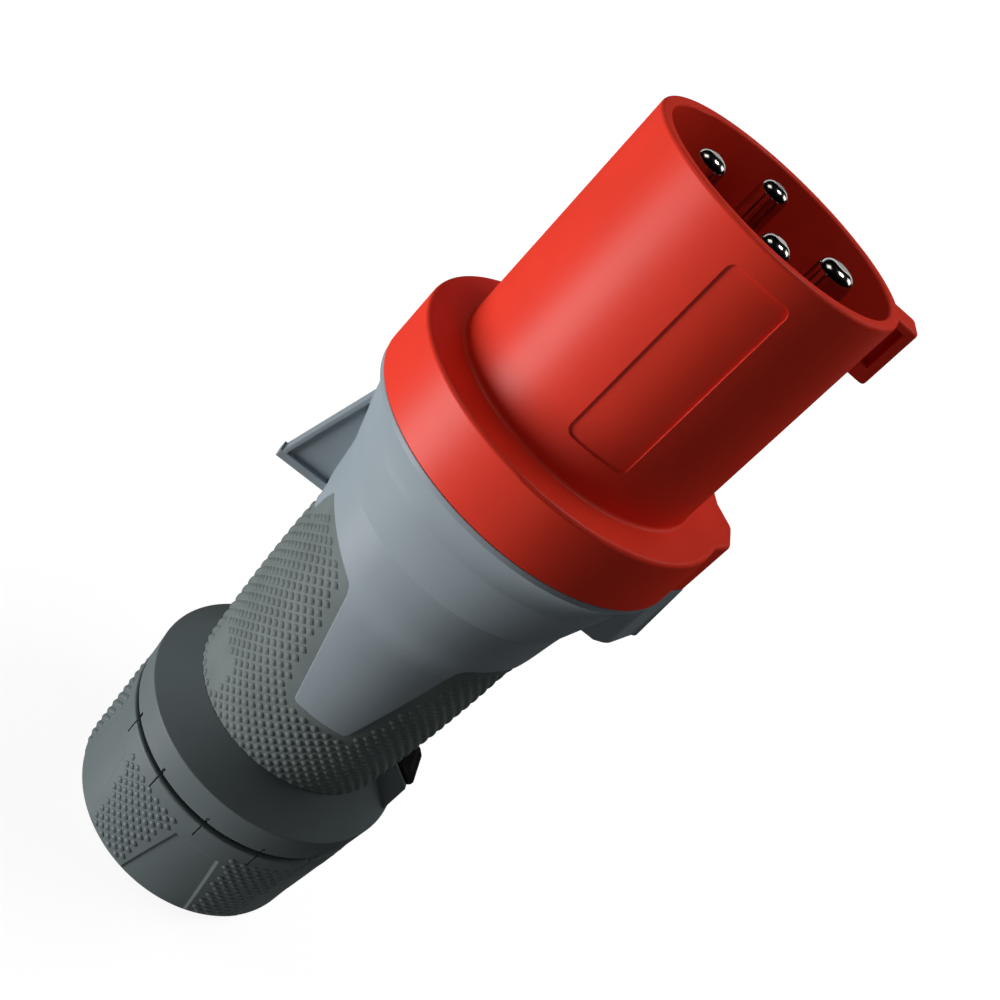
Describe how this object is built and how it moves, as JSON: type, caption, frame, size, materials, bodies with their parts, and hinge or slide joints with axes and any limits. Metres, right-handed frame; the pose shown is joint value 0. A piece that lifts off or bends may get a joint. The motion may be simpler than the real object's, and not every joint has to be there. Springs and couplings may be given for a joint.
{
  "type": "industrial pin and sleeve plug",
  "caption": "Industrial pin and sleeve plug with red keyed shroud, round contact pins, hollow grey handle with soft grip, and a lockable cable gland nut.",
  "frame": {"origin": "centre of the cable opening in the gland nut's rear face, on which the plug stands", "axes": "+Z along the plug's axis towards the mouth of the shroud, +X towards the key rib and the earth pin, -Y towards the plain field on the shroud"},
  "size_m": [0.0998, 0.0918, 0.248],
  "materials": {
    "shroud_plastic": "satin red polyamide",
    "carrier_plastic": "matte dark red polyamide",
    "pin_metal": "bright nickel plate on brass",
    "plated_steel": "zinc plated",
    "seal_rubber": "black rubber",
    "shell_plastic": "fine textured grey polyamide",
    "grip_rubber": "knurled soft elastomer",
    "gland_plastic": "satin dark grey polyamide",
    "lock_plastic": "black, smooth",
    "cage_plastic": "black polyamide"
  },
  "bodies": {
    "root": {"front_shroud": "shroud_plastic", "contact_carrier": "carrier_plastic", "pin_l1": "pin_metal", "pin_l2": "pin_metal", "pin_l3": "pin_metal", "pin_earth": "pin_metal", "terminal_cage_l1": "plated_steel", "terminal_cage_l2": "plated_steel", "terminal_cage_l3": "plated_steel", "terminal_cage_earth": "plated_steel", "terminal_screws": "plated_steel", "carrier_screws": "plated_steel", "housing_gasket": "seal_rubber", "housing_screw": "plated_steel", "grip_shell": "shell_plastic", "soft_grip": "grip_rubber", "gland_collar": "gland_plastic", "collar_gasket": "seal_rubber", "clamp_cage": "cage_plastic", "gland_seal": "seal_rubber"},
    "slip": {"slip_ring": "cage_plastic"},
    "nut": {"gland_nut": "gland_plastic"},
    "slider": {"lock_slider": "lock_plastic"}
  },
  "joints": [
    {"name": "gland_travel", "type": "slide", "parent": "root", "child": "slip", "axis": [0, 0, -1], "range_m": [0, 0.0121]},
    {"name": "gland_turn", "type": "hinge", "parent": "slip", "child": "nut", "pos_m": [0, 0, 0], "axis": [0, 0, -1], "range_deg": [0, 1080]},
    {"name": "lock_slide", "type": "slide", "parent": "root", "child": "slider", "axis": [0, 0, -1], "range_m": [0, 0.003]}
  ],
  "couplings": [
    {"joint": "gland_travel", "follows": "gland_turn", "m_per_rad": 0.00063662}
  ]
}
